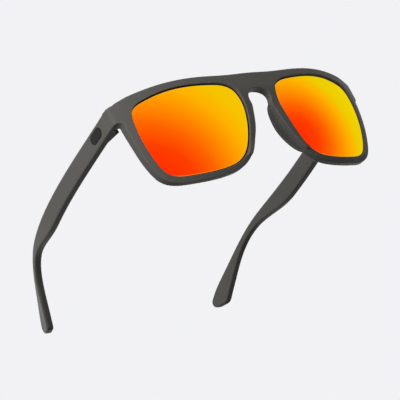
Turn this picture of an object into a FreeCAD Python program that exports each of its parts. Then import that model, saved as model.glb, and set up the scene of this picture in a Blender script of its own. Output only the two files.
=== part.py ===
import FreeCAD, Part

import math
import os

from FreeCAD import Placement, Rotation, Vector

# Framed sunglasses with a keyhole bridge, wrapped square lenses and two folding temples.
#
# The pieces are modelled in the frame of the eye line: x to the wearer's left, y back along
# the head, z up, with the middle of the bridge at the origin. The whole pair then leans forward
# until the lower rims and the temple tips rest on one flat surface.

SIZES = [
    # lenses
    ("lens_centre", 37.8, "lens centre from the middle of the pair"),
    ("lens_curve", 89.1, "radius of the lens front"),
    ("lens_wrap", 13.3, "turn of each lens about the vertical, degrees"),
    ("lens_thick", 1.6, "lens thickness"),
    ("opening_width", 53.6, "width of the opening in the rim"),
    ("opening_height", 43.0, "height of the opening in the rim"),
    ("opening_inward", 1.3, "middle of the opening inboard of the lens centre"),
    ("opening_drop", 1.0, "middle of the opening below the eye line"),
    ("groove_deep", 0.9, "how far the lens edge sits in the rim"),
    ("groove_gap", 0.05, "clearance all round the lens edge"),
    # front
    ("front_half", 70.8, "half the width of the front"),
    ("end_step", 3.8, "how far each end piece stands out past the rim below it"),
    ("end_fill", 2.5, "rounding of the inner corner below each end piece"),
    ("face_proud", 1.2, "front face ahead of the lens"),
    ("rim_back", 2.2, "back of the rim behind the lens front"),
    ("brow_height", 3.6, "height of the brow above the opening"),
    ("corner_round", 4.0, "rounding of the front's outer corners, seen from above"),
    ("bridge_slope", 2.5, "slope of each half of the bridge front at the brow, degrees"),
    ("bridge_hollow", 7.5, "slope the other way between the rims, degrees"),
    ("bridge_deep", 0.8, "extra thickness of the bridge at its middle"),
    ("ridge_half", 4.0, "half the width of the rounded middle of the bridge"),
    ("keyhole_half", 6.2, "half the width of the keyhole"),
    ("keyhole_top", 14.1, "top of the keyhole above the eye line"),
    ("keyhole_mid", 9.8, "widest level of the keyhole"),
    ("waist_half", 5.6, "half the width of the nose gap at its waist"),
    ("waist_level", 6.6, "level of the waist"),
    ("waist_drop", 3.3, "from the waist down to where the gap has opened again"),
    ("waist_open", 0.55, "how far each side has opened there"),
    ("wing_root", 2.8, "start of the nose wings inside the rim, ahead of the eye line"),
    ("wing_reach", 6.0, "depth of the nose wings behind the eye line"),
    ("wing_half_tall", 13.0, "half the height of a nose wing"),
    ("wing_level", -6.0, "middle of a nose wing"),
    ("wing_flare", 0.5, "how far the back of a nose wing leans outward"),
    ("wing_thick", 2.3, "thickness of a nose wing"),
    ("wing_round", 0.55, "rounding of the back edge of a nose wing"),
    ("pad_thick", 0.9, "thickness of a nose pad"),
    ("pad_inset", 1.3, "rim left around a nose pad"),
    ("pad_start", 0.2, "front edge of a nose pad ahead of the eye line"),
    # temples
    ("temple_slope", 13.8, "fall of the temple towards the ear, degrees"),
    ("temple_above", 4.7, "top of the temple above the middle of the hinge"),
    ("temple_below", 4.6, "bottom of the temple below the middle of the hinge"),
    ("temple_thick", 3.8, "thickness of the temple"),
    ("temple_bow", 2.0, "how far the temple bows outward"),
    ("ear_start", 66.0, "straight part of the temple, from the seam"),
    ("temple_round", 0.7, "rounding of the temple's long edges"),
    ("tip_round", 3.0, "rounding of the temple tip"),
    ("boss_long", 12.0, "length of the thicker hinge end of the temple"),
    ("boss_deep", 6.2, "thickness of the hinge end of the temple"),
    # hinges
    ("seam_back", 19.1, "seam behind the eye line, at the middle of the hinge"),
    ("seam_gap", 0.1, "gap between the temple and the front at the seam"),
    ("end_thick", 4.5, "thickness of the end piece"),
    ("hinge_inset", 6.1, "hinge pin inboard of the outer face"),
    ("hinge_level", 14.2, "middle of the hinge above the eye line"),
    ("knuckle_round", 1.45, "radius of a hinge knuckle"),
    ("knuckle_tall", 2.0, "height of a hinge knuckle"),
    ("knuckle_gap", 0.08, "gap between two knuckles"),
    ("pin_round", 0.6, "radius of the hinge screw"),
    ("pin_gap", 0.05, "running clearance around the hinge screw"),
    ("leaf_thick", 1.0, "thickness of a hinge leaf"),
    ("leaf_anchor", 5.4, "length of the front leaf, most of it moulded in"),
    ("leaf_long", 5.6, "length of the temple leaf, most of it moulded in"),
    ("leaf_clear", 0.3, "room between a leaf and the other leaf's knuckles"),
    ("head_round", 1.15, "radius of the screw head"),
    ("head_tall", 0.6, "height of the screw head"),
    ("slot_wide", 0.3, "width of the screwdriver slot"),
    ("slot_deep", 0.3, "depth of the screwdriver slot"),
    ("seat_gap", 0.02, "clearance of a moulded-in piece in its pocket"),
    # trim
    ("badge_long", 9.0, "length of the oval inlay on the temple"),
    ("badge_tall", 5.0, "height of the oval inlay"),
    ("badge_thick", 0.7, "thickness of the oval inlay"),
    ("badge_proud", 0.15, "how far the inlay stands out"),
    ("badge_back", 9.9, "middle of the inlay behind the seam"),
    ("badge_up", 0.6, "middle of the inlay above the middle of the hinge"),
]

# The opening in the rim, in halves of its width (positive towards the nose) and height.
OPENING_SHAPE = [
    (0.958, 0.05), (0.996, 0.38), (0.981, 0.577), (0.925, 0.747), (0.806, 0.865),
    (0.507, 0.95), (-0.05, 1.0), (-0.47, 0.961), (-0.724, 0.888), (-0.862, 0.823),
    (-0.955, 0.7), (-0.992, 0.535), (-1.0, 0.2), (-0.95, -0.256), (-0.88, -0.553),
    (-0.75, -0.828), (-0.638, -0.912), (-0.388, -0.977), (-0.05, -1.0), (0.289, -0.97),
    (0.526, -0.888), (0.72, -0.688), (0.84, -0.414), (0.925, -0.112),
]
# Width of the rim outside some of those points: down the temple side, round the bottom and up
# the nose side.
RIM_WIDTHS = [
    (12, 3.3), (13, 2.9), (14, 2.8), (15, 2.8), (16, 2.8), (17, 2.7), (18, 2.7), (19, 2.7),
    (20, 2.65), (21, 2.6), (22, 2.85), (23, 3.5),
]
# The brow line: distance from the middle in lens centres, and drop below the highest level.
BROW_LINE = [(0.0, 1.1), (0.3, 1.15), (0.65, 0.5), (1.0, 0.0), (1.3, 0.45), (1.6, 1.8), (1.93, 3.9)]
# The ear end of the temple, from the end of its straight part: upper edge, then lower edge.
EAR_UPPER = [(0.0, 0.0), (9.0, -0.1), (18.0, -0.4), (26.0, -1.1), (35.0, -3.25), (45.0, -7.2),
             (54.5, -11.7), (64.0, -16.5), (72.3, -22.4)]
EAR_LOWER = [(0.0, 0.0), (10.3, 1.05), (18.6, 2.85), (27.0, 3.95), (36.0, 2.4), (46.0, -3.1),
             (52.0, -8.0), (61.5, -16.0)]
# The temple seen from above: place along the straight part, then past its end, and distance
# inboard of a straight temple.
EAR_INWARD = [(6.0, -0.4), (16.0, 1.2), (30.0, 4.5), (40.0, 7.6), (51.0, 11.6), (60.0, 15.0),
              (72.0, 19.0)]


doc = FreeCAD.newDocument("Sunglasses")


def make_sheet():
    """The spreadsheet that holds every driving size."""
    sheet = doc.addObject("Spreadsheet::Sheet", "Sizes")
    for row, (name, value, note) in enumerate(SIZES, start=1):
        sheet.set(f"A{row}", name)
        sheet.set(f"B{row}", str(value))
        sheet.set(f"C{row}", note)
        sheet.setAlias(f"B{row}", name)
    doc.recompute()
    return sheet


SHEET = make_sheet()


def size(name):
    """One size from the sheet."""
    return float(getattr(SHEET, name))


def feature(name, shape):
    """A plain feature that holds a shape made here from the sheet."""
    made = doc.addObject("Part::Feature", name)
    made.Shape = shape
    return made


def spline(points, closed=False, ends=None):
    """An edge through the points, with given end tangents when it is open."""
    curve = Part.BSplineCurve()
    if closed:
        curve.interpolate(Points=points, PeriodicFlag=True)
    elif ends:
        curve.interpolate(Points=points, InitialTangent=ends[0], FinalTangent=ends[1])
    else:
        curve.interpolate(Points=points)
    return curve.toShape()


def lines(points):
    """Straight edges from point to point."""
    return [Part.makeLine(a, b) for a, b in zip(points, points[1:]) if a.distanceToPoint(b) > TINY]


def prism(edges, along):
    """A solid from a closed flat outline, pushed along a vector."""
    wire = Part.Wire(Part.__sortEdges__(edges))
    return Part.Face(wire).extrude(along)


def to_left(point):
    """The same place on the other side of the middle."""
    return Vector(-point.x, point.y, point.z)


# ---- values shared by several pieces -------------------------------------------------------

TINY = 1e-6
# How far a pocket runs out past the face that it opens in.
PAST = 0.6
# How far a shape that trims another runs past it, and further than any piece reaches.
TRIM = 20.0
REACH = 2 * size("front_half")
FRONT_END = -TRIM
BACK_END = size("seam_back") + TRIM
wrap = math.radians(size("lens_wrap"))
SPHERE = Vector(size("lens_centre") - size("lens_curve") * math.sin(wrap),
                size("lens_curve") * math.cos(wrap), 0)
FACE_CURVE = size("lens_curve") + size("face_proud")
BACK_CURVE = size("lens_curve") - size("rim_back")
OPENING_MIDDLE = Vector(size("lens_centre") - size("opening_inward"), 0, -size("opening_drop"))
SIDE = size("front_half") - size("end_step")
BROW_LEVEL = size("opening_height") / 2 - size("opening_drop") + size("brow_height")


def opening_points():
    """Points of the left opening, in the plane of the bridge."""
    half_wide = size("opening_width") / 2
    half_tall = size("opening_height") / 2
    return [OPENING_MIDDLE + Vector(-across * half_wide, 0, up * half_tall)
            for across, up in OPENING_SHAPE]


def opening_edge():
    return spline(opening_points(), closed=True)


def grown(curve, places, widths):
    """Points of a closed curve at the given parameters, each moved outward by its width."""
    points = []
    for place, width in zip(places, widths):
        tangent = curve.tangent(place)[0]
        spot = curve.value(place)
        normal = Vector(tangent.z, 0, -tangent.x)
        if normal.dot(spot - OPENING_MIDDLE) < 0:
            normal = normal * -1
        points.append(spot + normal * width)
    return points


def opening_prism(outward):
    """The left opening, made larger by a distance, as a solid through the front."""
    edge = opening_edge()
    if outward:
        first, last = edge.ParameterRange
        count = 3 * len(OPENING_SHAPE)
        places = [first + (last - first) * step / count for step in range(count)]
        edge = spline(grown(edge.Curve, places, [outward] * count), closed=True)
    wire = Part.Wire([edge])
    wire.translate(Vector(0, FRONT_END, 0))
    return Part.Face(wire).extrude(Vector(0, BACK_END - FRONT_END, 0))


def rim_points():
    """Points of the outer edge of the left rim, from the temple side down and up to the nose."""
    curve = opening_edge().Curve
    points = opening_points()
    places = [curve.parameter(points[index]) for index, width in RIM_WIDTHS]
    return grown(curve, places, [width for index, width in RIM_WIDTHS])


def nose_points():
    """Points of the nose gap above the rim: the waist and the left half of the keyhole."""
    middle = size("keyhole_mid")
    rise = size("keyhole_top") - middle
    half = size("keyhole_half")
    waist = Vector(size("waist_half"), 0, size("waist_level"))
    points = [waist + Vector(size("waist_open"), 0, -size("waist_drop")), waist]
    for turn in (0, 30, 60):
        angle = math.radians(turn)
        points.append(Vector(half * math.cos(angle), 0, middle + rise * math.sin(angle)))
    return points


def lower_edge():
    """The lower outline of the front: both rims, the nose gap and the keyhole."""
    left = [Vector(SIDE, 0, size("waist_level"))] + rim_points() + nose_points()
    crown = Vector(0, 0, size("keyhole_top"))
    points = left + [crown] + [to_left(point) for point in reversed(left)]
    start = (points[1] - points[0]).normalize()
    return spline(points, ends=(start, Vector(start.x, 0, -start.z)))


LOWER_EDGE = lower_edge()


def front_outline():
    """The front seen along y, up to a level above the brow."""
    above = BROW_LEVEL + TRIM
    start = Vector(SIDE, 0, size("waist_level"))
    upper = lines([to_left(start), Vector(-SIDE, 0, above), Vector(SIDE, 0, above), start])
    solid = prism([LOWER_EDGE] + upper, Vector(0, BACK_END - FRONT_END, 0))
    solid.translate(Vector(0, FRONT_END, 0))
    return solid


def below_brow():
    """Everything below the brow line."""
    left = [Vector(size("lens_centre") * along, 0, BROW_LEVEL - drop) for along, drop in BROW_LINE]
    points = [to_left(point) for point in reversed(left[1:])] + left
    sides = lines([points[-1], Vector(points[-1].x, 0, -REACH), Vector(points[0].x, 0, -REACH), points[0]])
    solid = prism([spline(points)] + sides, Vector(0, BACK_END - FRONT_END, 0))
    solid.translate(Vector(0, FRONT_END, 0))
    return solid


# ---- the curved face and back of the front -------------------------------------------------

def bridge_slope(level):
    """Slope of the bridge front in degrees: a ridge at the brow, a hollow between the rims."""
    low, high = 0.0, size("keyhole_top")
    part = min(1.0, max(0.0, (level - low) / (high - low)))
    blend = part * part * (3 - 2 * part)
    return blend * size("bridge_slope") - (1 - blend) * size("bridge_hollow")


def arc_point(centre, radius, turn):
    """A point of a plan arc, turned outward from straight ahead."""
    return centre + Vector(radius * math.sin(turn), -radius * math.cos(turn), 0)


def face_edges(level):
    """Left half of the front face seen from above at a level, from the middle to behind the seam."""
    slope = math.radians(bridge_slope(level))
    start = arc_point(SPHERE, FACE_CURVE, slope)
    ridge = size("ridge_half")
    shoulder = Vector(ridge, start.y - (start.x - ridge) * math.tan(slope), 0)
    peak = Vector(0, shoulder.y - ridge * math.tan(slope / 2), 0)
    between = Vector(ridge / 2, peak.y + ridge / 2 * math.tan(slope / 4), 0)
    round_by = size("corner_round")
    across = size("front_half") - round_by - SPHERE.x
    inner = math.asin(across / (FACE_CURVE - round_by))
    corner = arc_point(SPHERE, FACE_CURVE - round_by, inner)
    on_face = arc_point(SPHERE, FACE_CURVE, inner)
    middle = (inner + math.pi / 2) / 2
    on_corner = corner + Vector(round_by * math.sin(middle), -round_by * math.cos(middle), 0)
    on_side = corner + Vector(round_by, 0, 0)
    far = Vector(size("front_half"), BACK_END, 0)
    bow = arc_point(SPHERE, FACE_CURVE, (slope + inner) / 2)
    return [
        Part.Arc(peak, between, shoulder).toShape(),
        Part.makeLine(shoulder, start),
        Part.Arc(start, bow, on_face).toShape(),
        Part.Arc(on_face, on_corner, on_side).toShape(),
        Part.makeLine(on_side, far),
    ]


def back_edges(outer_x):
    """Left half of the back of the rim seen from above, out to a distance from the middle."""
    start = arc_point(SPHERE, BACK_CURVE, 0)
    turn = math.asin((outer_x - SPHERE.x) / BACK_CURVE)
    stop = arc_point(SPHERE, BACK_CURVE, turn)
    bow = arc_point(SPHERE, BACK_CURVE, turn / 2)
    middle = Vector(0, start.y + size("bridge_deep"), 0)
    return [Part.makeLine(middle, start), Part.Arc(start, bow, stop).toShape()], stop


def swept_sheet(plan):
    """A plan outline carried up and down, set back with height as the face is."""
    above = BROW_LEVEL + size("corner_round")
    below = above
    levels = [-below * step / 4 for step in range(4, 0, -1)] + [above * step / 8 for step in range(9)]
    wires = []
    for level in levels:
        back = FACE_CURVE - math.sqrt(FACE_CURVE ** 2 - level ** 2)
        wire = Part.Wire(joined(plan(level)))
        wire.translate(Vector(0, back, level))
        wires.append(wire)
    return Part.makeLoft(wires, True)


def joined(edges):
    """Edges in order round a closed outline."""
    return Part.__sortEdges__(edges)


def front_plan(level):
    """Outline seen from above of everything behind the front face, out to both sides."""
    half = face_edges(level)
    far = Vector(size("front_half"), BACK_END, 0)
    mirrored = [edge.mirror(Vector(0, 0, 0), Vector(1, 0, 0)) for edge in half]
    return half + mirrored + [Part.makeLine(far, to_left(far))]


def plan_behind(level):
    """Outline seen from above of the space behind the rim, the same at every level."""
    reach = size("front_half") + size("corner_round")
    back, stop = back_edges(reach)
    mirrored = [edge.mirror(Vector(0, 0, 0), Vector(1, 0, 0)) for edge in back]
    far = Vector(reach, BACK_END + TRIM, 0)
    return back + mirrored + lines([stop, far, to_left(far), to_left(stop)])


# ---- places on the temple ------------------------------------------------------------------

HINGE = Placement(Vector(0, size("seam_back"), size("hinge_level")),
                  Rotation(Vector(1, 0, 0), -size("temple_slope")))
PIN_X = size("front_half") - size("hinge_inset")


def placed(shape, placement):
    moved = shape.copy()
    moved.Placement = placement.multiply(moved.Placement)
    return moved


def box_between(low, high):
    """A box between two opposite corners."""
    span = high - low
    return Part.makeBox(span.x, span.y, span.z, low)


def end_piece_band():
    """The band that the left end piece lies in, level with the temple."""
    inner = size("front_half") - size("end_thick")
    ahead = size("seam_back") + TRIM
    band = box_between(Vector(inner, -ahead, -size("temple_below")),
                       Vector(inner + TRIM, -size("seam_gap"), size("temple_above")))
    return placed(band, HINGE)


def end_piece_fill():
    """The rounded inner corner between the left rim's side and the bottom of its end piece."""
    radius = size("end_fill")
    bottom = -size("temple_below")
    ahead = -size("seam_back") - TRIM
    low = Vector(SIDE, ahead, bottom - radius)
    far = Vector(SIDE + radius, ahead, bottom)
    hollow = Vector(SIDE + radius, ahead, bottom - radius)
    between = hollow + Vector(-radius, 0, radius) * math.sqrt(0.5)
    inside = Vector(SIDE - radius, ahead, bottom - radius)
    top = Vector(inside.x, ahead, bottom + radius)
    corner = Vector(far.x, ahead, top.z)
    outline = [Part.Arc(low, between, far).toShape()] + lines([far, corner, top, inside, low])
    return placed(prism(outline, Vector(0, size("seam_back") + TRIM, 0)), HINGE)


def both_sides(shape):
    return shape.fuse(shape.mirror(Vector(0, 0, 0), Vector(1, 0, 0)))


def behind_seam():
    """Everything behind the seams."""
    space = box_between(Vector(-REACH, -size("seam_gap"), -REACH), Vector(REACH, REACH, REACH))
    return placed(space, HINGE)


# ---- the front -----------------------------------------------------------------------------

def shell(outer, inner):
    """A hollow ball round the centre of the left lens."""
    return Part.makeSphere(outer, SPHERE).cut(Part.makeSphere(inner, SPHERE))


def lens_groove():
    """The groove that holds the left lens."""
    gap = size("groove_gap")
    ring = opening_prism(size("groove_deep") + gap)
    return ring.common(shell(size("lens_curve") + gap, size("lens_curve") - size("lens_thick") - gap))


def nose_wall(inward, lean, level):
    """The nose side of the left rim, moved into the rim and leaning outward, at a depth."""
    curve = LOWER_EDGE.Curve
    low = curve.parameter(rim_points()[-4])
    high = curve.parameter(nose_points()[2])
    points = []
    steps = 12
    for step in range(steps + 1):
        place = low + (high - low) * step / steps
        tangent = curve.tangent(place)[0]
        normal = Vector(tangent.z, 0, -tangent.x)
        if normal.x < 0:
            normal = normal * -1
        spot = curve.value(place) + normal * inward
        points.append(Vector(spot.x + lean, level, spot.z))
    return points


def wing_band(start, end):
    """A band of the left nose wing between two distances from its nose side."""
    reach = size("wing_reach") + PAST
    wires = []
    for level in (-size("wing_root"), reach):
        lean = size("wing_flare") * level / reach
        near = nose_wall(start, lean, level)
        far = nose_wall(end, lean, level)
        wires.append(Part.Wire([
            spline(near),
            Part.makeLine(near[-1], far[-1]),
            spline(far),
            Part.makeLine(far[0], near[0]),
        ]))
    return Part.makeLoft(wires, True, True)


def wing_profile(inset):
    """The side view of a nose wing, across the whole front."""
    level = size("wing_level")
    tall = size("wing_half_tall") - inset
    reach = size("wing_reach") - inset
    oval = Part.Ellipse(Vector(0, 0, level + tall), Vector(0, reach, level), Vector(0, 0, level))
    face = Part.Face(Part.Wire([oval.toShape()]))
    return face.extrude(Vector(size("lens_centre"), 0, 0))


def nose_wing():
    """The left nose wing with its back edge rounded."""
    wing = wing_band(0, size("wing_thick")).common(wing_profile(0))
    tall = size("wing_half_tall")
    reach = size("wing_reach")
    rounded = []
    for edge in wing.Edges:
        middle = edge.valueAt((edge.FirstParameter + edge.LastParameter) / 2)
        height = (middle.z - size("wing_level")) / tall
        off_oval = abs((middle.y / reach) ** 2 + height ** 2 - 1)
        if middle.y > reach / 2 and off_oval < size("seat_gap"):
            rounded.append(edge)
    return wing.makeFillet(size("wing_round"), rounded).common(front_outline())


def pad(clear):
    """The left nose pad, or its pocket when there is a clearance."""
    open_by = PAST if clear else 0.0
    band = wing_band(-open_by, size("pad_thick") + clear)
    ahead = box_between(Vector(-REACH, -REACH, -REACH), Vector(REACH, -size("pad_start") - clear, REACH))
    return band.common(wing_profile(size("pad_inset") - clear)).cut(ahead)


def front_shape():
    """The moulded front, without the pockets of its hinge leaves."""
    blank = swept_sheet(front_plan).common(below_brow())
    outline = front_outline().fuse(both_sides(end_piece_fill()))
    rims = blank.common(outline).cut(swept_sheet(plan_behind))
    rims = rims.cut(both_sides(opening_prism(0)))
    end_pieces = blank.common(both_sides(end_piece_band())).cut(behind_seam())
    body = rims.fuse(end_pieces)
    wing = nose_wing()
    body = body.fuse([wing, wing.mirror(Vector(0, 0, 0), Vector(1, 0, 0))])
    return body.cut([both_sides(pad(size("seat_gap"))), both_sides(lens_groove())])


# ---- the temple, in its own frame: y along it from the seam, z up from the hinge -----------

def temple_side():
    """The left temple seen from the side, as a solid across it."""
    start = size("seam_gap") / 2
    along = size("ear_start")
    above = size("temple_above")
    below = size("temple_below")
    upper = [Vector(0, along + back, above + rise) for back, rise in EAR_UPPER]
    lower = [Vector(0, along + back, rise - below) for back, rise in EAR_LOWER]
    onward = Vector(0, 1, 0)
    edges = [
        Part.makeLine(Vector(0, start, above), upper[0]),
        spline(upper, ends=(onward, (upper[-1] - upper[-2]).normalize())),
        Part.makeLine(upper[-1], lower[-1]),
        spline(lower, ends=(onward, (lower[-1] - lower[-2]).normalize())),
        Part.makeLine(lower[0], Vector(0, start, -below)),
        Part.makeLine(Vector(0, start, -below), Vector(0, start, above)),
    ]
    across = size("front_half") + TRIM
    solid = prism(edges, Vector(across, 0, 0))
    corners = [edge for edge in solid.Edges
               if abs(edge.Length - across) < TINY
               and edge.CenterOfMass.y > along + EAR_LOWER[-1][0] - 1]
    return solid.makeFillet(size("tip_round"), corners)


def temple_line(outward):
    """Points of the left temple's outer face seen from above, moved outward."""
    straight = size("ear_start")
    bow = size("temple_bow")
    places = [(-PAST, 0.0), (straight / 3, -0.6 * bow), (straight * 2 / 3, -bow)]
    places += [(straight + back, inward) for back, inward in EAR_INWARD]
    return [Vector(size("front_half") - inward + outward, back, 0) for back, inward in places]


def temple_strip(outward, thick):
    """The temple's plan band, from a face moved outward to a distance inside it."""
    outer = temple_line(outward)
    inner = temple_line(outward - thick)
    edges = [spline(outer), Part.makeLine(outer[-1], inner[-1]), spline(inner),
             Part.makeLine(inner[0], outer[0])]
    solid = prism(edges, Vector(0, 0, 2 * REACH))
    solid.translate(Vector(0, 0, -REACH))
    return solid


def temple_boss():
    """The thicker hinge end of the left temple, behind the knuckles."""
    start = size("knuckle_round") + 2 * size("leaf_clear")
    end = size("boss_long")
    near = size("front_half") - size("boss_deep")
    far = size("front_half") - size("temple_thick") / 2
    corners = [Vector(near, start, 0), Vector(far, end, 0), Vector(far, start, 0), Vector(near, start, 0)]
    solid = prism(lines(corners), Vector(0, 0, 2 * REACH))
    solid.translate(Vector(0, 0, -REACH))
    return solid


def temple_shape():
    """The left temple with its long edges rounded, without its pockets."""
    side = temple_side()
    bar = side.common(temple_strip(0, size("temple_thick")))
    start = size("seam_gap") / 2
    long_edges = [edge for edge in bar.Edges
                  if max(vertex.Point.y for vertex in edge.Vertexes) > start + 1]
    bar = bar.makeFillet(size("temple_round"), long_edges)
    return bar.fuse(temple_boss().common(side))


def badge(clear, proud):
    """The oval inlay of the left temple, or its pocket."""
    radius = size("badge_tall") / 2 + clear
    straight = size("badge_long") / 2 - size("badge_tall") / 2
    middle = Vector(0, size("badge_back"), size("badge_up"))
    ends = [middle + Vector(0, side * straight, 0) for side in (-1, 1)]
    solid = box_between(ends[0] - Vector(0, 0, radius), ends[1] + Vector(REACH, 0, radius))
    for end in ends:
        solid = solid.fuse(Part.makeCylinder(radius, REACH, end, Vector(1, 0, 0)))
    return solid.removeSplitter().common(temple_strip(proud, proud + size("badge_thick") + clear))


# ---- hinge hardware, as bound primitives in the temple's own frame --------------------------

STACK = "(1.5 * Sizes.knuckle_tall + Sizes.knuckle_gap)"
PIN_PLACE = "Sizes.front_half - Sizes.hinge_inset"
LEAF_PLACE = f"{PIN_PLACE} + Sizes.knuckle_round + Sizes.leaf_clear - Sizes.leaf_thick"
LEAF_START = "(Sizes.knuckle_round + Sizes.leaf_clear)"


def bound(kind, name, **texts):
    """A Part primitive whose sizes and place follow the sheet."""
    made = doc.addObject(kind, name)
    for field, text in texts.items():
        path = f"Placement.Base.{field}" if field in ("x", "y", "z") else field
        made.setExpression(path, text)
    return made


def fused(name, shapes):
    made = doc.addObject("Part::MultiFuse", name)
    made.Shapes = shapes
    return made


def cut(name, base, tool):
    made = doc.addObject("Part::Cut", name)
    made.Base = base
    made.Tool = tool
    return made


def knuckle(name, bottom):
    return bound("Part::Cylinder", name, Radius="Sizes.knuckle_round", Height="Sizes.knuckle_tall",
                 x=PIN_PLACE, z=bottom)


def arm(name, bottom, start, length):
    return bound("Part::Box", name, Length="Sizes.leaf_thick", Width=length,
                 Height="Sizes.knuckle_tall", x=LEAF_PLACE, y=start, z=bottom)


def plate(name, start, length, grow="0"):
    """A leaf's plate, or its pocket when it grows."""
    return bound("Part::Box", name, Length=f"Sizes.leaf_thick + 2 * {grow}",
                 Width=f"{length} + 2 * {grow}", Height=f"2 * {STACK} + 2 * {grow}",
                 x=f"{LEAF_PLACE} - {grow}", y=f"{start} - {grow}", z=f"-{STACK} - {grow}")


def pin_hole(name):
    return bound("Part::Cylinder", name, Radius="Sizes.pin_round + Sizes.pin_gap",
                 Height=f"4 * {STACK}", x=PIN_PLACE, z=f"-2 * {STACK}")


FRONT_PLATE = ("-Sizes.leaf_anchor", f"Sizes.leaf_anchor - {LEAF_START}")
TEMPLE_PLATE = (LEAF_START, f"Sizes.leaf_long - {LEAF_START}")
LOW = f"-{STACK}"
MIDDLE = "-Sizes.knuckle_tall / 2"
HIGH = "Sizes.knuckle_tall / 2 + Sizes.knuckle_gap"


def front_leaf():
    """The leaf moulded into the front: a plate with the upper and the lower knuckle."""
    pieces = [plate("FrontPlate", *FRONT_PLATE)]
    for name, bottom in (("Low", LOW), ("High", HIGH)):
        pieces.append(arm(f"FrontArm{name}", bottom, f"-{LEAF_START}", LEAF_START))
        pieces.append(knuckle(f"FrontKnuckle{name}", bottom))
    return cut("FrontLeaf", fused("FrontLeafBlank", pieces), pin_hole("FrontPinHole"))


def temple_leaf():
    """The leaf moulded into the temple: a plate with the middle knuckle."""
    pieces = [
        plate("TemplePlate", *TEMPLE_PLATE),
        arm("TempleArm", MIDDLE, "0", LEAF_START),
        knuckle("TempleKnuckle", MIDDLE),
    ]
    return cut("TempleLeaf", fused("TempleLeafBlank", pieces), pin_hole("TemplePinHole"))


def hinge_screw():
    """The slotted screw that is the hinge pin."""
    shank = bound("Part::Cylinder", "ScrewShank", Radius="Sizes.pin_round", Height=f"2 * {STACK}",
                  x=PIN_PLACE, z=f"-{STACK}")
    head = bound("Part::Cylinder", "ScrewHead", Radius="Sizes.head_round", Height="Sizes.head_tall",
                 x=PIN_PLACE, z=STACK)
    slot = bound("Part::Box", "ScrewSlot", Length="Sizes.slot_wide", Width="4 * Sizes.head_round",
                 Height="2 * Sizes.slot_deep", x=f"{PIN_PLACE} - Sizes.slot_wide / 2",
                 y="-2 * Sizes.head_round", z=f"{STACK} + Sizes.head_tall - Sizes.slot_deep")
    return cut("Screw", fused("ScrewBlank", [shank, head]), slot)


def left_lens():
    """The lens: a bent sheet cut to the groove's outline."""
    outline = feature("LensOutline", opening_prism(size("groove_deep")))
    balls = []
    for name, radius in (("LensFront", "Sizes.lens_curve"),
                         ("LensBack", "Sizes.lens_curve - Sizes.lens_thick")):
        ball = bound("Part::Sphere", name, Radius=radius)
        ball.Placement = Placement(SPHERE, Rotation())
        balls.append(ball)
    sheet = cut("LensSheet", *balls)
    lens = doc.addObject("Part::Common", "Lens")
    lens.Base = sheet
    lens.Tool = outline
    return lens


def front_frame():
    """The moulded front with the pockets of both hinge leaves."""
    body = feature("FrontBody", front_shape())
    pocket = plate("FrontPocket", "-Sizes.leaf_anchor", "Sizes.leaf_anchor", grow="Sizes.seat_gap")
    doc.recompute()
    left = placed(pocket.Shape, HINGE)
    pockets = feature("FrontPockets", both_sides(left))
    return cut("Front", body, pockets)


def left_temple():
    """The left temple with the pockets of its hinge leaf and its inlay."""
    body = feature("TempleBody", temple_shape())
    pocket = plate("TemplePocket", *TEMPLE_PLATE, grow="Sizes.seat_gap")
    inlay = feature("InlayPocket", badge(size("seat_gap"), 2 * size("badge_proud")))
    return cut("Temple", body, fused("TemplePockets", [pocket, inlay]))


# ---- the whole pair ------------------------------------------------------------------------

def leaning(shapes):
    """The placement that rests the pair on its lower rims and its temple tips."""
    rims, temple = [contact_points(shape) for shape in shapes]
    turn = Rotation()
    lean = 0.0
    still_off = 1.0
    while abs(still_off) > TINY:
        low_rim = min((turn.multVec(point) for point in rims), key=lambda point: point.z)
        low_tip = min((turn.multVec(point) for point in temple), key=lambda point: point.z)
        still_off = math.degrees(math.atan2(low_rim.z - low_tip.z, low_tip.y - low_rim.y))
        lean += still_off
        turn = Rotation(Vector(1, 0, 0), lean)
    return turn


def contact_points(shape):
    """Points on a shape's skin, close enough together to find where it rests."""
    closeness = 0.02
    return shape.tessellate(closeness)[0]


def build():
    """Every piece, in a list of name, feature, and the frame that it is made in."""
    straight = Placement()
    paired = [
        ("lens", left_lens(), straight),
        ("nose_pad", feature("Pad", pad(0)), straight),
        ("front_hinge_leaf", front_leaf(), HINGE),
        ("hinge_screw", hinge_screw(), HINGE),
        ("temple_hinge_leaf", temple_leaf(), HINGE),
        ("temple", left_temple(), HINGE),
        ("temple_inlay", feature("Inlay", badge(0, size("badge_proud"))), HINGE),
    ]
    front = front_frame()
    doc.recompute()
    temple = placed(dict((name, made) for name, made, _ in paired)["temple"].Shape, HINGE)
    turn = leaning([front.Shape, temple])
    whole = Part.Compound([front.Shape, temple])
    whole.Placement = Placement(Vector(), turn)
    box = Part.Compound([Part.Vertex(point) for point in contact_points(whole)]).BoundBox
    rest = Placement(Vector(0, -(box.YMin + box.YMax) / 2, -box.ZMin), turn)
    front.Placement = rest
    front.Label = "frame_front"
    pieces = [("frame_front", front)]
    for name, made, own in paired:
        made.Placement = rest.multiply(own)
        made.Label = f"{name}_left"
        other = doc.addObject("Part::Mirroring", made.Name + "Right")
        other.Source = made
        other.Base = Vector(0, 0, 0)
        other.Normal = Vector(1, 0, 0)
        other.Label = f"{name}_right"
        pieces += [(f"{name}_left", made), (f"{name}_right", other)]
    doc.recompute()
    print("rest placement", rest)
    pin = rest.multiply(HINGE)
    print("left hinge", pin.multVec(Vector(PIN_X, 0, 0)), "axis", pin.Rotation.multVec(Vector(0, 0, 1)))
    return pieces


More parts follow.
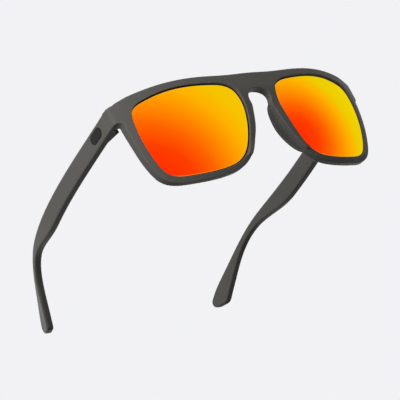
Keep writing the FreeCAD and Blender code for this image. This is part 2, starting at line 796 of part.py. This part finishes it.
def write(pieces):
    """Check every object, then write each piece to its own file."""
    for made in doc.Objects:
        if "Invalid" in made.State or "Error" in made.State:
            raise RuntimeError(f"{made.Name} did not compute")
    for name, made in pieces:
        if made.Shape.isNull() or not made.Shape.isValid():
            raise RuntimeError(f"{name} has no valid shape")
    os.makedirs("parts", exist_ok=True)
    for name, made in pieces:
        made.Shape.exportStep(f"parts/{name}.step")
        print(f"{name}: {made.Shape.Volume:.1f} mm3, {len(made.Shape.Solids)} solid")


write(build())
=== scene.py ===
"""Looks of a pair of framed sunglasses with mirrored lenses and folding temples.

The moulded plastic, the coated lenses, the nose pads, the hinges and the inlays are dressed over the
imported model, which stays the fixed frame that every piece is placed by. Lengths are in metres.
"""

import logging
import math
from dataclasses import dataclass
from enum import Enum

import bmesh
import bpy
import numpy as np
from mathutils import Matrix, Vector
from mathutils.bvhtree import BVHTree


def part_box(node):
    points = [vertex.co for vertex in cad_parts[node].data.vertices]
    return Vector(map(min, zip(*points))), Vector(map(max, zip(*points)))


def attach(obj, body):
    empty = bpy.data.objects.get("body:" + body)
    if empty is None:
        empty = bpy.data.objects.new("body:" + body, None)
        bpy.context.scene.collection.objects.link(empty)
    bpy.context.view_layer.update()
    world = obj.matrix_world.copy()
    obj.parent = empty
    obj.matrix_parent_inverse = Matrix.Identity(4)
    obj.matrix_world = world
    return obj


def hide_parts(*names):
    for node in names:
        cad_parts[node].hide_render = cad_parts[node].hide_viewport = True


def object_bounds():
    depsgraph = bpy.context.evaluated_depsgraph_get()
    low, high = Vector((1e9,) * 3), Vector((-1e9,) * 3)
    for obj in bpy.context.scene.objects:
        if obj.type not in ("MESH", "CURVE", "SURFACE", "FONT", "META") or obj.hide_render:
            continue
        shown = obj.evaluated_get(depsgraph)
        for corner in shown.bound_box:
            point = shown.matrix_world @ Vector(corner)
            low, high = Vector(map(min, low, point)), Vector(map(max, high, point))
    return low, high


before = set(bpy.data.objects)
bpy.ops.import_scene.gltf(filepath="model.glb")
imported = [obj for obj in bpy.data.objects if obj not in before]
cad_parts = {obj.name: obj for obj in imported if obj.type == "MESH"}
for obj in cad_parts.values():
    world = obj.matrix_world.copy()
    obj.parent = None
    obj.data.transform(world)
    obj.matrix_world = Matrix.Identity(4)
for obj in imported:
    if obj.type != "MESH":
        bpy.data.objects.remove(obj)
CAD_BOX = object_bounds()

log = logging.getLogger("sunglasses")
MM = 0.001
EDGE_DISTANCE = "edge_distance"
WELD_DISTANCE = 1e-6
CALM_ROUNDS = (8, 10)


class Side(Enum):
    """One of the two sides, named as the wearer has them."""

    LEFT = "left"
    RIGHT = "right"


# ---- shader building ------------------------------------------------------------------------

Socket = bpy.types.NodeSocket
Nodes = bpy.types.NodeTree
Colour = tuple[float, float, float]


def from_display(red: int, green: int, blue: int) -> Colour:
    """A display colour as the linear colour that a shader takes.

    Args:
        red, green, blue: the display values, 0 to 255.

    Returns:
        The three linear values.
    """
    def linear(value: int) -> float:
        """One display value, made linear."""
        part = value / 255
        return part / 12.92 if part <= 0.04045 else ((part + 0.055) / 1.055) ** 2.4

    return linear(red), linear(green), linear(blue)


def add_node(tree: Nodes, kind: str, **values: object) -> bpy.types.Node:
    """Adds a node and fills its inputs.

    Args:
        tree: the node tree it goes into.
        kind: the node's type name without "ShaderNode".
        values: properties of the node, or values and links for its inputs, with _ for spaces.

    Returns:
        The node.
    """
    node = tree.nodes.new("ShaderNode" + kind)
    for name, value in values.items():
        if hasattr(node, name) and name not in node.inputs:
            setattr(node, name, value)
            continue
        socket = node.inputs[name.replace("_", " ")]
        if isinstance(value, Socket):
            tree.links.new(value, socket)
        elif isinstance(value, tuple) and len(value) == 3 and socket.type == "RGBA":
            socket.default_value = (*value, 1.0)
        else:
            socket.default_value = value
    return node


def calculate(tree: Nodes, operation: str, first: object, second: object = 0.0) -> Socket:
    """A Math node.

    Args:
        tree: the node tree it goes into.
        operation: the node's operation.
        first, second: a value or a socket each.

    Returns:
        The result's socket.
    """
    node = tree.nodes.new("ShaderNodeMath")
    node.operation = operation
    for socket, value in zip(node.inputs, (first, second)):
        if isinstance(value, Socket):
            tree.links.new(value, socket)
        else:
            socket.default_value = value
    return node.outputs[0]


def blended(tree: Nodes, share: object, first: object, second: object) -> Socket:
    """A mix of two colours.

    Args:
        tree: the node tree it goes into.
        share: how much of the second colour shows, a value or a socket.
        first, second: the colours, as values or sockets.

    Returns:
        The mixed colour's socket.
    """
    node = tree.nodes.new("ShaderNodeMix")
    node.data_type = "RGBA"
    for index, value in ((0, share), (6, first), (7, second)):
        if isinstance(value, Socket):
            tree.links.new(value, node.inputs[index])
        else:
            node.inputs[index].default_value = (*value, 1.0) if index else value
    return node.outputs[2]


def colour_ramp(tree: Nodes, place: Socket, stops: list[tuple[float, Colour]]) -> Socket:
    """A run of colours along a number.

    Args:
        tree: the node tree it goes into.
        place: the number that the colours run along.
        stops: each colour and its place, from 0 to 1.

    Returns:
        The colour's socket.
    """
    node = tree.nodes.new("ShaderNodeValToRGB")
    tree.links.new(place, node.inputs[0])
    elements = node.color_ramp.elements
    for element, (position, colour) in zip(elements, (stops[0], stops[-1])):
        element.position = position
        element.color = (*colour, 1)
    for position, colour in stops[1:-1]:
        elements.new(position).color = (*colour, 1)
    return node.outputs[0]


def new_group(name: str, inputs: dict[str, float], outputs: list[str]) -> bpy.types.NodeTree:
    """An empty shader node group with number sockets.

    Args:
        name: the group's name.
        inputs: name and usual value of each input.
        outputs: names of the outputs.

    Returns:
        The group, with its Group Input and Group Output nodes in place.
    """
    group = bpy.data.node_groups.new(name, "ShaderNodeTree")
    for label, value in inputs.items():
        made = group.interface.new_socket(label, in_out="INPUT", socket_type="NodeSocketFloat")
        made.default_value = value
    for label in outputs:
        group.interface.new_socket(label, in_out="OUTPUT", socket_type="NodeSocketFloat")
    group.nodes.new("NodeGroupInput").name = "in"
    group.nodes.new("NodeGroupOutput").name = "out"
    return group


def moulded_skin() -> bpy.types.NodeTree:
    """The skin of moulded plastic or rubber: a fine spark-eroded grain over faint flow clouds.

    Handling makes its outward edges smoother, and they get a painted highlight, a lighter tone.

    Returns:
        A group with the inputs Grain (size in metres), Spread (of tone) and Painted_Edge_Light
        (strength of the painted highlight on edges), and the outputs Height, Tone (about 1, the
        painted edge highlight included) and Gloss (about 0).
    """
    name = "moulded_skin"
    if name in bpy.data.node_groups:
        return bpy.data.node_groups[name]
    cloud_size = 9 * MM
    fine_share = 0.5
    flat_bend = 0.505
    edge_gain = 14.0
    usual = {"Grain": 0.12 * MM, "Spread": 0.05, "Painted_Edge_Light": 0.3}
    group = new_group(name, usual, ["Height", "Tone", "Gloss"])
    given = group.nodes["in"].outputs
    put = group.nodes["out"].inputs
    place = add_node(group, "TexCoord").outputs["Object"]
    frequency = calculate(group, "DIVIDE", 1.0, given["Grain"])
    grain = add_node(group, "TexNoise", Vector=place, Scale=frequency, Detail=2.0, Roughness=0.6)
    clouds = add_node(group, "TexNoise", Vector=place, Scale=1 / cloud_size, Detail=3.0, Roughness=0.5)
    off_middle = calculate(group, "SUBTRACT", clouds.outputs["Fac"], 0.5)
    fine_off = calculate(group, "SUBTRACT", grain.outputs["Fac"], 0.5)
    both = calculate(group, "ADD", off_middle, calculate(group, "MULTIPLY", fine_off, fine_share))
    spread = calculate(group, "MULTIPLY", both, given["Spread"])
    # Outward edges, where the skin bends sharply, get a painted highlight: their tone is raised.
    bend = add_node(group, "NewGeometry").outputs["Pointiness"]
    edge = calculate(group, "MULTIPLY", calculate(group, "SUBTRACT", bend, flat_bend), edge_gain)
    edge = calculate(group, "MINIMUM", calculate(group, "MAXIMUM", edge, 0.0), 1.0)
    painted_edge_highlight = calculate(group, "MULTIPLY", edge, given["Painted_Edge_Light"])
    group.links.new(grain.outputs["Fac"], put["Height"])
    # Tone is 1 plus the random spread plus the painted edge highlight.
    tone = calculate(group, "ADD", calculate(group, "ADD", 1.0, spread), painted_edge_highlight)
    group.links.new(tone, put["Tone"])
    group.links.new(calculate(group, "SUBTRACT", both, edge), put["Gloss"])
    return group


def new_material(name: str) -> tuple[bpy.types.Material, Nodes, bpy.types.Node]:
    """A material with a Principled shader.

    Args:
        name: the material's name.

    Returns:
        The material, its node tree and its Principled node.
    """
    made = bpy.data.materials.new(name)
    made.use_nodes = True
    tree = made.node_tree
    return made, tree, tree.nodes["Principled BSDF"]


# ---- finishes -------------------------------------------------------------------------------

@dataclass(frozen=True)
class MouldedPlastic:
    """Matte or glossy moulded plastic or rubber with a fine grain and a painted highlight on its
    outward edges.
    """

    name: str
    slot: str
    colour: Colour
    roughness: float = 0.46
    specular: float = 0.08
    grain: float = 0.12 * MM
    depth: float = 0.006 * MM
    spread: float = 0.08
    # Strength of the painted highlight on outward edges.
    edge_highlight: float = 0.35
    unevenness: float = 0.12

    def material(self) -> bpy.types.Material:
        """The finish as a material.

        Returns:
            The material.
        """
        made, tree, shader = new_material(self.name)
        skin = tree.nodes.new("ShaderNodeGroup")
        skin.node_tree = moulded_skin()
        skin.inputs["Grain"].default_value = self.grain
        skin.inputs["Spread"].default_value = self.spread
        skin.inputs["Painted_Edge_Light"].default_value = self.edge_highlight
        # The base colour follows Tone, so it carries the random tone and the painted edge highlight.
        darkest, lightest = 0.5, 1.5
        darker = tuple(part * darkest for part in self.colour)
        lighter = tuple(part * lightest for part in self.colour)
        share = calculate(tree, "SUBTRACT", skin.outputs["Tone"], darkest)
        tree.links.new(blended(tree, share, darker, lighter), shader.inputs["Base Color"])
        gloss = calculate(tree, "MULTIPLY", skin.outputs["Gloss"], self.unevenness)
        tree.links.new(calculate(tree, "ADD", self.roughness, gloss), shader.inputs["Roughness"])
        bump = add_node(tree, "Bump", Height=skin.outputs["Height"], Distance=self.depth)
        tree.links.new(bump.outputs[0], shader.inputs["Normal"])
        shader.inputs["Specular IOR Level"].default_value = self.specular
        return made


@dataclass(frozen=True)
class MirrorCoat:
    """A lens coating with a painted reflection: its colour turns from red to yellow away from one
    point, as the coating's reflection looks from one direction of view.

    The uncoated edge of the lens shows as a thin dark line, which is also painted shade of the groove
    the lens sits in, with a brighter line just inside it, a painted highlight.
    """

    name: str
    slot: str
    reddest: tuple[float, float]
    start: float
    length: float
    squash: float
    yellow: Colour
    edge_line: float
    # The brighter line just inside the dark one is a painted highlight: its width, colour and
    # strength.
    inner_highlight_width: float = 0.35 * MM
    inner_highlight_colour: Colour = from_display(255, 214, 60)
    inner_highlight_share: float = 0.5
    # The dark line's colour: the bare edge with painted groove shade.
    bare_edge_and_shade_colour: Colour = from_display(20, 25, 48)
    edge_roughness: float = 0.5
    roughness: float = 0.13
    specular: float = 0.05
    specular_tint: Colour = (1.0, 0.95, 0.1)

    def distance(self, tree: Nodes) -> Socket:
        """Distance from the reddest point over the length of the change, 0 where it starts.

        Args:
            tree: the node tree that it is worked out in.

        Returns:
            The distance's socket.
        """
        place = add_node(tree, "TexCoord").outputs["Object"]
        parts = add_node(tree, "SeparateXYZ", Vector=place).outputs
        across = calculate(tree, "SUBTRACT", parts["X"], self.reddest[0])
        upward = calculate(tree, "SUBTRACT", parts["Z"], self.reddest[1])
        upward = calculate(tree, "MULTIPLY", upward, self.squash)
        squares = calculate(tree, "ADD", calculate(tree, "MULTIPLY", across, across),
                            calculate(tree, "MULTIPLY", upward, upward))
        past = calculate(tree, "SUBTRACT", calculate(tree, "SQRT", squares), self.start)
        return calculate(tree, "DIVIDE", past, self.length)

    def material(self) -> bpy.types.Material:
        """The finish as a material.

        Returns:
            The material.
        """
        made, tree, shader = new_material(self.name)
        # Painted reflection: the coat's colour runs from red to yellow with distance, fixed on the
        # lens as its reflection looks from one direction of view.
        ramp = colour_ramp(tree, self.distance(tree), [
            (0.0, from_display(255, 50, 0)),
            (0.17, from_display(255, 62, 0)),
            (0.36, from_display(255, 98, 0)),
            (0.56, from_display(255, 140, 0)),
            (0.78, from_display(255, 176, 0)),
            (1.0, self.yellow),
        ])
        # Near the rim the colour is a dark line, the bare edge with painted groove shade, and just
        # inside it a brighter line, a painted highlight.
        inside = add_node(tree, "Attribute", attribute_name=EDGE_DISTANCE).outputs["Fac"]
        past_line = calculate(tree, "SUBTRACT", inside, self.edge_line)
        coated = calculate(tree, "GREATER_THAN", past_line, 0.0)
        near_line = calculate(tree, "DIVIDE", past_line, self.inner_highlight_width)
        glow = calculate(tree, "SUBTRACT", 1.0, near_line)
        glow = calculate(tree, "MULTIPLY", calculate(tree, "MAXIMUM", glow, 0.0), self.inner_highlight_share)
        coat = blended(tree, glow, ramp, self.inner_highlight_colour)
        tree.links.new(blended(tree, coated, self.bare_edge_and_shade_colour, coat), shader.inputs["Base Color"])
        smoother = calculate(tree, "MULTIPLY", coated, self.edge_roughness - self.roughness)
        rough = calculate(tree, "SUBTRACT", self.edge_roughness, smoother)
        tree.links.new(rough, shader.inputs["Roughness"])
        tree.links.new(coated, shader.inputs["Metallic"])
        shader.inputs["Specular Tint"].default_value = (*self.specular_tint, 1)
        shader.inputs["Specular IOR Level"].default_value = self.specular
        return made


@dataclass(frozen=True)
class SmokedLens:
    """The dark tinted back of a mirrored lens."""

    name: str
    slot: str
    colour: Colour = from_display(38, 33, 30)
    browning: tuple[float, float, float] = (1.25, 1.05, 0.9)
    cloud_size: float = 40 * MM
    roughness: float = 0.08

    def material(self) -> bpy.types.Material:
        """The finish as a material.

        Returns:
            The material.
        """
        made, tree, shader = new_material(self.name)
        place = add_node(tree, "TexCoord").outputs["Object"]
        tint = add_node(tree, "TexNoise", Vector=place, Scale=1 / self.cloud_size, Detail=1.0)
        browner = tuple(part * share for part, share in zip(self.colour, self.browning))
        smoked = blended(tree, tint.outputs["Fac"], self.colour, browner)
        tree.links.new(smoked, shader.inputs["Base Color"])
        shader.inputs["Roughness"].default_value = self.roughness
        return made


@dataclass(frozen=True)
class DrawnSteel:
    """Steel with a fine turned or drawn texture."""

    name: str
    slot: str
    colour: Colour
    roughness: float = 0.32
    unevenness: float = 0.18
    line_size: float = 1.5 * MM
    stretch: float = 14.0
    shade: float = 0.85
    depth: float = 0.004 * MM

    def material(self) -> bpy.types.Material:
        """The finish as a material.

        Returns:
            The material.
        """
        made, tree, shader = new_material(self.name)
        place = add_node(tree, "TexCoord").outputs["Object"]
        stretched = add_node(tree, "Mapping", Vector=place, Scale=Vector((1.0, 1.0, self.stretch)))
        lines = add_node(tree, "TexNoise", Vector=stretched.outputs[0], Scale=1 / self.line_size,
                         Detail=4.0)
        gloss = calculate(tree, "MULTIPLY", lines.outputs["Fac"], self.unevenness)
        rough = calculate(tree, "ADD", self.roughness - self.unevenness / 2, gloss)
        tree.links.new(rough, shader.inputs["Roughness"])
        darker = tuple(part * self.shade for part in self.colour)
        lined = blended(tree, lines.outputs["Fac"], darker, self.colour)
        tree.links.new(lined, shader.inputs["Base Color"])
        bump = add_node(tree, "Bump", Height=lines.outputs["Fac"], Distance=self.depth)
        tree.links.new(bump.outputs[0], shader.inputs["Normal"])
        shader.inputs["Metallic"].default_value = 1.0
        return made


Finish = MouldedPlastic | MirrorCoat | SmokedLens | DrawnSteel


# ---- pieces ---------------------------------------------------------------------------------

def finish_piece(piece: bpy.types.Object, finishes: list[Finish]) -> None:
    """Replaces a piece's materials.

    Args:
        piece: the piece.
        finishes: its finishes, the main one first.
    """
    piece.data.materials.clear()
    for finish in finishes:
        piece.data.materials.append(finish.material())


def dress(piece: bpy.types.Object, finishes: list[Finish], body: str) -> bpy.types.Object:
    """Gives a piece its materials and the body that it moves with.

    Args:
        piece: the piece.
        finishes: its finishes, each with a slot and a material, the main one first.
        body: the body that the piece rides on.

    Returns:
        The piece.
    """
    finish_piece(piece, finishes)
    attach(piece, body)
    log.info("%s: %d faces on %s", piece.name, len(piece.data.polygons), body)
    return piece


def smooth(shape: bmesh.types.BMesh, points: list[bmesh.types.BMVert], passes: int) -> None:
    """Smooths some points of a shape.

    Args:
        shape: the shape.
        points: the points that are smoothed.
        passes: how many times.
    """
    for _ in range(passes):
        bmesh.ops.smooth_vert(shape, verts=points, factor=0.5, use_axis_x=True,
                              use_axis_y=True, use_axis_z=True)


def refined_copy(node: str, name: str, step: float, passes: int,
                 kept: float = 1.0) -> bpy.types.Object:
    """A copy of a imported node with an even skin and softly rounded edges.

    Args:
        node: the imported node.
        name: the new piece's name.
        step: size of the new skin's faces.
        passes: how many times the skin is smoothed at the end.
        kept: share of the skin's triangles that is kept, most of them where it bends.

    Returns:
        The new piece, at the origin.
    """
    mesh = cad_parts[node].data.copy()
    rough = bpy.data.objects.new(name + "_rough", mesh)
    bpy.context.scene.collection.objects.link(rough)
    weld = rough.modifiers.new("weld", "WELD")
    weld.merge_threshold = WELD_DISTANCE
    remesh = rough.modifiers.new("even", "REMESH")
    remesh.mode = "VOXEL"
    remesh.voxel_size = step
    remesh.use_smooth_shade = True
    for turn, rounds in enumerate(CALM_ROUNDS):
        snug = rough.modifiers.new(f"snug_{turn}", "SHRINKWRAP")
        snug.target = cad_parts[node]
        snug.wrap_method = "NEAREST_SURFACEPOINT"
        calm = rough.modifiers.new(f"calm_{turn}", "SMOOTH")
        calm.iterations = rounds
    if kept < 1:
        rough.modifiers.new("thin", "DECIMATE").ratio = kept
    depsgraph = bpy.context.evaluated_depsgraph_get()
    even = bpy.data.meshes.new_from_object(rough.evaluated_get(depsgraph))
    bpy.data.objects.remove(rough)
    shape = bmesh.new()
    shape.from_mesh(even)
    smooth(shape, shape.verts[:], passes)
    shape.to_mesh(even)
    shape.free()
    even.name = name
    piece = bpy.data.objects.new(name, even)
    bpy.context.scene.collection.objects.link(piece)
    return piece


@dataclass
class Front:
    """The moulded front and its nose pads."""

    step: float = 0.2 * MM
    kept: float = 0.4
    pad_step: float = 0.25 * MM
    slope_start: tuple[float, float, float] = (62 * MM, -58.7 * MM, 48.1 * MM)
    slope_fall: float = 0.29
    slope_lean: float = 0.08
    slope_band: float = 0.6 * MM
    slope_passes: int = 14

    def build_shell(self, plastic: MouldedPlastic) -> bpy.types.Object:
        """The front's plastic, with every moulded edge rounded.

        Args:
            plastic: its finish.

        Returns:
            The piece.
        """
        shell = refined_copy("frame_front", "front_shell", self.step, 1, self.kept)
        self.ease_corners(shell)
        shell.visible_glossy = False
        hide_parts("frame_front")
        return dress(shell, [plastic], "front")

    def ease_corners(self, shell: bpy.types.Object) -> None:
        """Slopes the top of the brow smoothly down to both end pieces.

        Args:
            shell: the front's plastic.
        """
        across, back, level = self.slope_start
        shape = bmesh.new()
        shape.from_mesh(shell.data)
        sloped = []
        for vertex in shape.verts:
            past = abs(vertex.co.x) - across
            if past < 0:
                continue
            limit = level - self.slope_fall * past + self.slope_lean * (vertex.co.y - back)
            if vertex.co.z > limit - self.slope_band:
                sloped.append(vertex)
                vertex.co.z = min(vertex.co.z, limit)
        smooth(shape, sloped, self.slope_passes)
        shape.to_mesh(shell.data)
        shape.free()

    def build_pad(self, side: Side, rubber: MouldedPlastic) -> bpy.types.Object:
        """The nose pad of one side.

        Args:
            side: the side.
            rubber: its finish.

        Returns:
            The piece.
        """
        node = f"nose_pad_{side.value}"
        pad = refined_copy(node, f"nose_pad_skin_{side.value}", self.pad_step, 2)
        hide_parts(node)
        return dress(pad, [rubber], "front")


@dataclass
class Lens:
    """One lens: a bent sheet with a true ball-shaped front and back."""

    side: Side
    step: float = 0.42 * MM
    passes: int = 2
    in_groove: float = 0.9 * MM
    # Width of the dark line at the bare edge, painted groove shade.
    dark_line: float = 0.62 * MM
    sideways: float = 0.6
    squarely: float = 0.985
    backward: float = 0.5

    def build(self) -> bpy.types.Object:
        """The lens with its coated front, its bare edge with a dark line of painted groove shade and a
        painted highlight, and its smoked back.

        Returns:
            The piece.
        """
        node = f"lens_{self.side.value}"
        lens = refined_copy(node, f"lens_sheet_{self.side.value}", self.step, self.passes)
        self.true_up(lens, node)
        self.mark_edge(lens, node)
        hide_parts(node)
        dress(lens, [self.coat(node), SmokedLens("smoked_back", "lens")], "front")
        for face in lens.data.polygons:
            face.material_index = 1 if face.normal.y > self.backward else 0
        return lens

    def coat(self, node: str) -> MirrorCoat:
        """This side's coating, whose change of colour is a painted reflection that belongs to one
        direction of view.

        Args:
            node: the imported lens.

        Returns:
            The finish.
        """
        low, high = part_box(node)
        middle = (low + high) / 2
        if self.side is Side.LEFT:
            away, start, length, squash = (-23.6 * MM, -12.8 * MM), 6.5 * MM, 36 * MM, 1.08
            yellow = from_display(236, 204, 10)
        else:
            away, start, length, squash = (-36.3 * MM, -36.6 * MM), 24.5 * MM, 42 * MM, 0.84
            yellow = from_display(246, 196, 0)
        return MirrorCoat(
            name=f"mirror_coat_{self.side.value}",
            slot="lens",
            reddest=(middle.x + away[0], middle.z + away[1]),
            start=start,
            length=length,
            squash=squash,
            yellow=yellow,
            edge_line=self.in_groove + self.dark_line,
        )

    def packed_faces(self, node: str, towards: int) -> list[list[Vector]]:
        """The faces of a packed lens that look one way.

        Args:
            node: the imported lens.
            towards: -1 for ahead, 1 for back, 0 for sideways.

        Returns:
            The corner points of each face.
        """
        def looks(face: bpy.types.MeshPolygon) -> int:
            """Which way a face looks."""
            level = face.normal.y
            return 0 if abs(level) < self.sideways else int(math.copysign(1, level))

        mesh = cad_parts[node].data
        return [[mesh.vertices[corner].co for corner in face.vertices]
                for face in mesh.polygons if looks(face) == towards]

    def true_up(self, lens: bpy.types.Object, node: str) -> None:
        """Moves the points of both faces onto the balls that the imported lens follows.

        Args:
            lens: the piece.
            node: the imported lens.
        """
        places = np.array([vertex.co for vertex in lens.data.vertices])
        normals = np.array([vertex.normal for vertex in lens.data.vertices])
        for towards in (-1, 1):
            faces = self.packed_faces(node, towards)
            points = np.array([corner for face in faces for corner in face])
            terms = np.column_stack([2 * points, np.ones(len(points))])
            answer = np.linalg.lstsq(terms, (points ** 2).sum(axis=1), rcond=None)[0]
            middle = answer[:3]
            radius = math.sqrt(answer[3] + middle @ middle)
            arms = places - middle
            lengths = np.linalg.norm(arms, axis=1)
            out = arms / lengths[:, None]
            near = np.abs(lengths - radius) < self.step / 2
            square = np.abs((out * normals).sum(axis=1)) > self.squarely
            on_face = near & square
            places[on_face] = (middle + out * radius)[on_face]
        lens.data.vertices.foreach_set("co", places.ravel())
        lens.data.update()

    def mark_edge(self, lens: bpy.types.Object, node: str) -> None:
        """Stores each point's distance from the edge of the lens, whose packed faces are triangles.

        Args:
            lens: the piece.
            node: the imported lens.
        """
        corners = [corner for face in self.packed_faces(node, 0) for corner in face]
        faces = [(start, start + 1, start + 2) for start in range(0, len(corners), 3)]
        rim = BVHTree.FromPolygons(corners, faces)
        marks = lens.data.attributes.new(EDGE_DISTANCE, "FLOAT", "POINT")
        for index, vertex in enumerate(lens.data.vertices):
            marks.data[index].value = rim.find_nearest(vertex.co)[3]


@dataclass
class Temple:
    """One temple with its inlay and its half of the hinge."""

    side: Side
    step: float = 0.25 * MM
    passes: int = 1

    def build(self, plastic: MouldedPlastic, gloss: MouldedPlastic) -> None:
        """The temple's plastic and its inlay.

        Args:
            plastic: finish of the temple.
            gloss: finish of the inlay.
        """
        body = f"{self.side.value}_temple"
        node = f"temple_{self.side.value}"
        bar = refined_copy(node, f"temple_bar_{self.side.value}", self.step, self.passes)
        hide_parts(node)
        dress(bar, [plastic], body)
        finish_piece(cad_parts[f"temple_inlay_{self.side.value}"], [gloss])


@dataclass
class Hinge:
    """The metal of one hinge."""

    side: Side

    def dress_metal(self, leaf_steel: DrawnSteel, screw_steel: DrawnSteel) -> None:
        """Gives both leaves and the screw their steel.

        Args:
            leaf_steel: finish of the leaves.
            screw_steel: finish of the screw.
        """
        for node, steel in (("front_hinge_leaf", leaf_steel), ("temple_hinge_leaf", leaf_steel),
                            ("hinge_screw", screw_steel)):
            finish_piece(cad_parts[f"{node}_{self.side.value}"], [steel])


# ---- surroundings ---------------------------------------------------------------------------

@dataclass
class Studio:
    """The pale floor, the soft lights, the pale surroundings and the camera."""

    pale: Colour = from_display(242, 242, 245)
    bounce: Colour = from_display(108, 108, 110)
    floor_half: float = 1.2
    floor_roughness: float = 0.9
    floor_specular: float = 0.1
    azimuth: float = 39.81
    rise: float = 21.18
    roll: float = 23.76
    distance: float = 1.2989
    lens: float = 247.7
    sensor: float = 36.0
    nearest: float = 0.05
    aim: tuple[float, float, float] = (4.04 * MM, -2.38 * MM, -2.0 * MM)

    def build_floor(self) -> None:
        """A pale floor that only shows from above, so that it hides nothing from below."""
        shape = bmesh.new()
        bmesh.ops.create_grid(shape, x_segments=1, y_segments=1, size=self.floor_half)
        mesh = bpy.data.meshes.new("floor")
        shape.to_mesh(mesh)
        shape.free()
        floor = bpy.data.objects.new("floor", mesh)
        bpy.context.scene.collection.objects.link(floor)
        made, tree, shader = new_material("pale_floor")
        path = add_node(tree, "LightPath").outputs
        colour = blended(tree, path["Is Camera Ray"], self.bounce, self.pale)
        tree.links.new(colour, shader.inputs["Base Color"])
        mirrored = calculate(tree, "MAXIMUM", path["Is Glossy Ray"], path["Is Transmission Ray"])
        glow = add_node(tree, "Emission", Color=(1.0, 1.0, 1.0), Strength=1.0)
        seen = tree.nodes.new("ShaderNodeMixShader")
        tree.links.new(mirrored, seen.inputs[0])
        tree.links.new(shader.outputs[0], seen.inputs[1])
        tree.links.new(glow.outputs[0], seen.inputs[2])
        shader.inputs["Roughness"].default_value = self.floor_roughness
        shader.inputs["Specular IOR Level"].default_value = self.floor_specular
        clear = add_node(tree, "BsdfTransparent")
        mix = tree.nodes.new("ShaderNodeMixShader")
        below = add_node(tree, "NewGeometry").outputs["Backfacing"]
        tree.links.new(below, mix.inputs[0])
        tree.links.new(seen.outputs[0], mix.inputs[1])
        tree.links.new(clear.outputs[0], mix.inputs[2])
        tree.links.new(mix.outputs[0], tree.nodes["Material Output"].inputs["Surface"])
        floor.data.materials.append(made)

    def build_surroundings(self, fill: float) -> None:
        """Pale surroundings for the camera and for gloss, and a softer fill for the rest.

        Args:
            fill: strength of the light that the surroundings give.
        """
        world = bpy.data.worlds.new("surroundings")
        world.use_nodes = True
        bpy.context.scene.world = world
        tree = world.node_tree
        tree.nodes.clear()
        path = add_node(tree, "LightPath").outputs
        seen = calculate(tree, "MAXIMUM", path["Is Camera Ray"], path["Is Glossy Ray"])
        seen = calculate(tree, "MAXIMUM", seen, path["Is Transmission Ray"])
        strength = calculate(tree, "ADD", fill, calculate(tree, "MULTIPLY", seen, 1.0 - fill))
        colour = blended(tree, path["Is Glossy Ray"], self.pale, (1.0, 1.0, 1.0))
        light = add_node(tree, "Background", Color=colour, Strength=strength)
        out = tree.nodes.new("ShaderNodeOutputWorld")
        tree.links.new(light.outputs[0], out.inputs["Surface"])

    def build_lamp(self, name: str, azimuth: float, height: float, size: float, power: float,
                   spared: list[bpy.types.Object], distance: float = 0.9) -> None:
        """A soft square lamp that faces the glasses.

        Args:
            name: the lamp's name.
            azimuth: direction that it stands in, degrees from straight ahead of the wearer
                towards the wearer's left.
            height: degrees above the floor.
            size: side of its square.
            power: its power in watts.
            spared: pieces that it doesn't light, because they only mirror the surroundings.
            distance: how far away it stands.
        """
        data = bpy.data.lights.new(name, "AREA")
        data.shape = "SQUARE"
        data.size = size
        data.energy = power
        lamp = bpy.data.objects.new(name, data)
        bpy.context.scene.collection.objects.link(lamp)
        turn = math.radians(azimuth)
        level = math.radians(height)
        away = Vector((math.sin(turn) * math.cos(level), -math.cos(turn) * math.cos(level),
                       math.sin(level)))
        middle = self.middle()
        lamp.location = middle + away * distance
        lamp.rotation_euler = away.to_track_quat("Z", "Y").to_euler()
        receivers = bpy.data.collections.new(f"{name}_receivers")
        for piece in spared:
            receivers.objects.link(piece)
        for entry in receivers.collection_objects:
            entry.light_linking.link_state = "EXCLUDE"
        lamp.light_linking.receiver_collection = receivers

    def middle(self) -> Vector:
        """The middle of the glasses' box."""
        low, high = CAD_BOX
        return (Vector(low) + Vector(high)) / 2

    def build_camera(self) -> None:
        """A long lens below the eye line, looking up at the front from the wearer's right."""
        turn = math.radians(self.azimuth)
        rise = math.radians(self.rise)
        ahead = Vector((math.sin(turn) * math.cos(rise), math.cos(turn) * math.cos(rise),
                        math.sin(rise)))
        target = self.middle() + Vector(self.aim)
        data = bpy.data.cameras.new("camera")
        data.lens = self.lens
        data.sensor_width = self.sensor
        data.clip_start = self.nearest
        camera = bpy.data.objects.new("camera", data)
        bpy.context.scene.collection.objects.link(camera)
        level = (-ahead).to_track_quat("Z", "Y").to_matrix()
        camera.matrix_world = Matrix.Translation(target - ahead * self.distance) @ (
            level @ Matrix.Rotation(-math.radians(self.roll), 3, "Z")).to_4x4()
        bpy.context.scene.camera = camera


def main() -> None:
    """Builds and dresses the glasses and their surroundings."""
    logging.basicConfig(level=logging.INFO, format="%(name)s: %(message)s")
    bpy.context.scene.view_settings.view_transform = "Standard"
    graphite = MouldedPlastic("graphite_plastic", "frame", from_display(84, 83, 79))
    rubber = MouldedPlastic("soft_rubber", "pad", from_display(80, 79, 76), roughness=0.5)
    gloss = MouldedPlastic("inlay_gloss", "inlay", from_display(30, 30, 31), roughness=0.25,
                           depth=0.001 * MM)
    leaf_steel = DrawnSteel("leaf_steel", "hinge", from_display(150, 150, 152))
    screw_steel = DrawnSteel("screw_steel", "screw", from_display(176, 176, 178), roughness=0.25)

    front = Front()
    front.build_shell(graphite)
    lenses = [Lens(side).build() for side in Side]
    for side in Side:
        front.build_pad(side, rubber)
        Temple(side).build(graphite, gloss)
        Hinge(side).dress_metal(leaf_steel, screw_steel)

    studio = Studio()
    studio.build_floor()
    studio.build_surroundings(fill=0.22)
    studio.build_lamp("key", azimuth=-62, height=14, size=0.7, power=10.2, spared=lenses)
    studio.build_lamp("top", azimuth=0, height=85, size=0.8, power=2.3, spared=lenses)
    studio.build_lamp("back", azimuth=160, height=25, size=0.8, power=2.8, spared=lenses)
    studio.build_camera()


if __name__ == "__main__":
    main()
